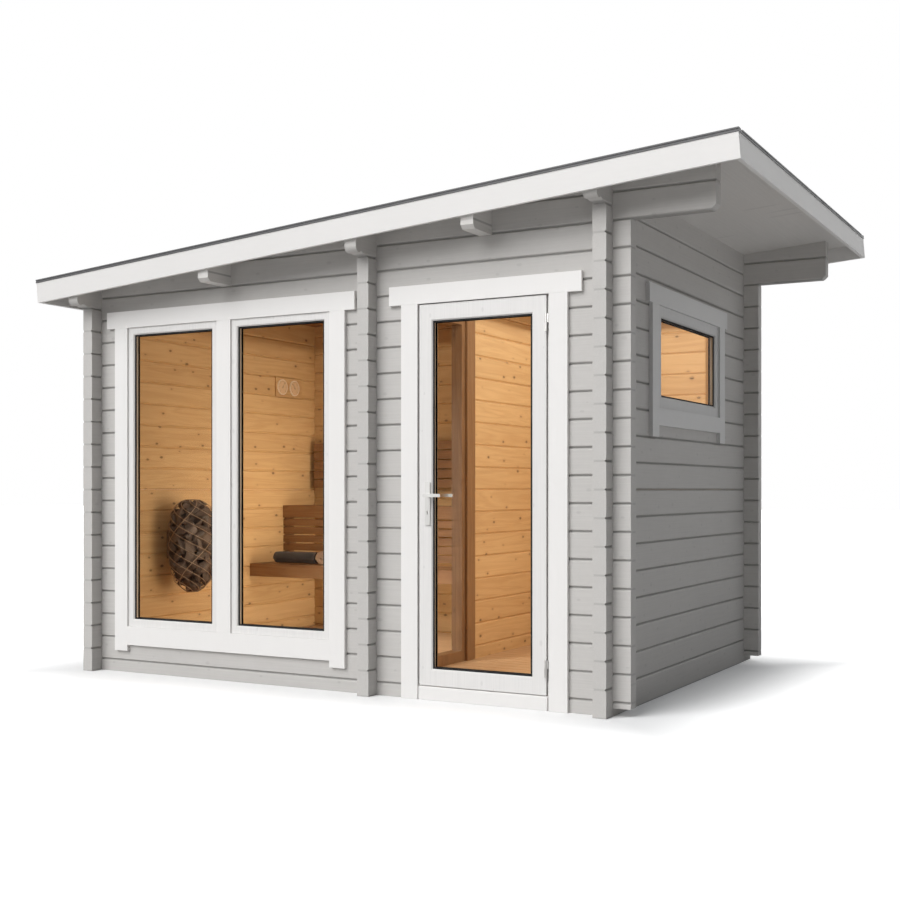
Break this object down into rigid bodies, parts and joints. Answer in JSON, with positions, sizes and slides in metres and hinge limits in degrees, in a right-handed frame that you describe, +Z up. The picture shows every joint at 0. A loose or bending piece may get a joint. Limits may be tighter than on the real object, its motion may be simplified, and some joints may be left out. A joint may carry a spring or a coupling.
{
  "type": "outdoor sauna cabin",
  "caption": "Log sauna cabin with a mono-pitch roof, a glazed sauna room with benches and a heater, and an entry room behind a glazed door",
  "frame": {"origin": "centre of the outer box of the whole cabin, on the ground", "axes": "+Z up; +X along the front towards the roof's high side and the side window; the front, with the double window and the door, faces -Y"},
  "size_m": [4.273, 2.729, 2.6597],
  "materials": {
    "grey_painted_logs": "painted matte",
    "white_painted_wood": "painted satin",
    "bare_pine": "bare",
    "heat_treated_wood": "bare",
    "roofing_felt": "matte",
    "dark_edge_trim": "satin",
    "window_glass": "clear",
    "glass_spacer": "satin",
    "satin_steel": "brushed",
    "dark_steel": "matte",
    "heater_stone": "rough",
    "dark_wood": "oiled",
    "gauge_face": "satin",
    "towel_cloth": "terry"
  },
  "bodies": {
    "cabin": {"back_wall_head": "grey_painted_logs", "back_wall_lower_courses": "grey_painted_logs", "bench_backrest": "heat_treated_wood", "door_casing": "white_painted_wood", "door_frame": "white_painted_wood", "door_threshold": "white_painted_wood", "floor": "heat_treated_wood", "front_wall_below_window": "grey_painted_logs", "front_wall_head": "grey_painted_logs", "front_wall_left_pier": "grey_painted_logs", "front_wall_middle_pier": "grey_painted_logs", "front_wall_right_pier": "grey_painted_logs", "front_window_casing": "white_painted_wood", "front_window_frame": "white_painted_wood", "front_window_glass": "window_glass", "front_window_sash": "white_painted_wood", "gauge_board": "dark_wood", "gauges": "gauge_face", "heater_bracket": "dark_steel", "heater_stones": "heater_stone", "hinge_frame_halves": "satin_steel", "inner_doorway_casing": "heat_treated_wood", "inner_doorway_lining": "heat_treated_wood", "left_wall": "grey_painted_logs", "lower_bench": "heat_treated_wood", "partition_back_part": "bare_pine", "partition_front_pier": "bare_pine", "partition_head": "bare_pine", "profiled_top_logs": "grey_painted_logs", "right_wall_back_pier": "grey_painted_logs", "right_wall_below_window": "grey_painted_logs", "right_wall_front_pier": "grey_painted_logs", "right_wall_head": "grey_painted_logs", "rolled_towels": "towel_cloth", "roof_covering": "roofing_felt", "roof_deck": "grey_painted_logs", "roof_edge_trim": "dark_edge_trim", "roof_fascia": "white_painted_wood", "roof_purlins": "grey_painted_logs", "side_window_casing": "white_painted_wood", "side_window_frame": "white_painted_wood", "side_window_glass": "window_glass", "side_window_sash": "white_painted_wood", "upper_bench": "heat_treated_wood", "window_glass_spacers": "glass_spacer"},
    "door": {"door_leaf": "white_painted_wood", "door_glass": "window_glass", "door_glass_spacer": "glass_spacer", "hinge_leaf_halves": "satin_steel", "door_handle_plates": "satin_steel"},
    "lever": {"door_levers": "satin_steel"}
  },
  "joints": [
    {"name": "door_hinge", "type": "hinge", "parent": "cabin", "child": "door", "pos_m": [1.117, -1.1625, 1.05], "axis": [0, 0, 1], "range_deg": [0, 100]},
    {"name": "lever_turn", "type": "hinge", "parent": "door", "child": "lever", "pos_m": [0.4495, -1.1425, 1.05], "axis": [0, 1, 0], "range_deg": [0, 40], "stiffness_Nm_per_rad": 0.8}
  ]
}
